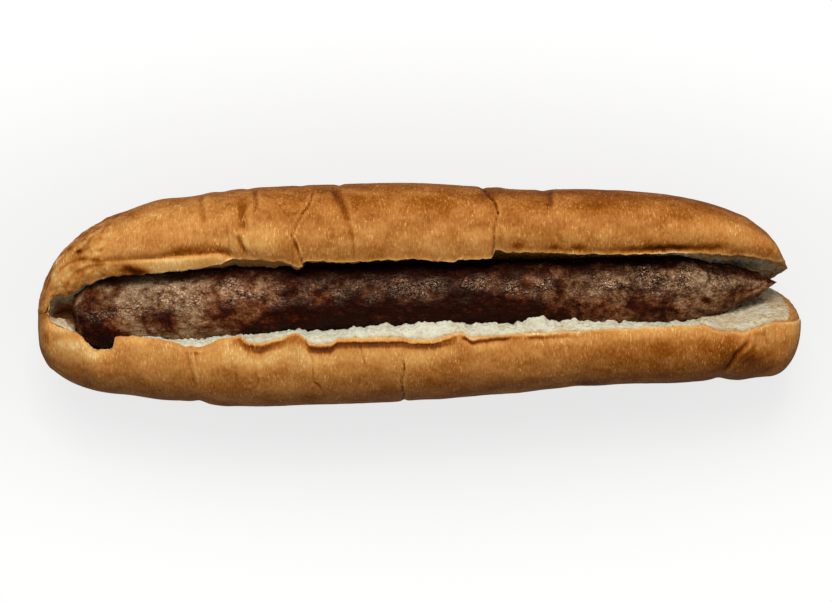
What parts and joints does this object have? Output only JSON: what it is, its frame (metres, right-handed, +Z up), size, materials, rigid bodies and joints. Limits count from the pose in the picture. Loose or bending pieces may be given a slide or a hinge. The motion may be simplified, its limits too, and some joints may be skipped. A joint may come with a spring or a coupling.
{
  "type": "kofta sandwich",
  "caption": "Long soft golden bread roll, split along its top and open at one end, holding one long grilled ground-meat kofta in its groove.",
  "frame": {"origin": "on the ground, at the middle of the sandwich's bounding box", "axes": "+X along the roll, from its closed round end to the end where the split runs out in two tips; +Z up, out of the split's mouth; +Y towards the slightly taller wall"},
  "size_m": [0.3002, 0.0886, 0.064],
  "materials": {
    "bread_crust": "satin",
    "bread_crumb": "matte",
    "kofta_meat": "satin"
  },
  "bodies": {
    "root": {"roll": "bread_crust", "kofta": "kofta_meat"}
  },
  "joints": []
}
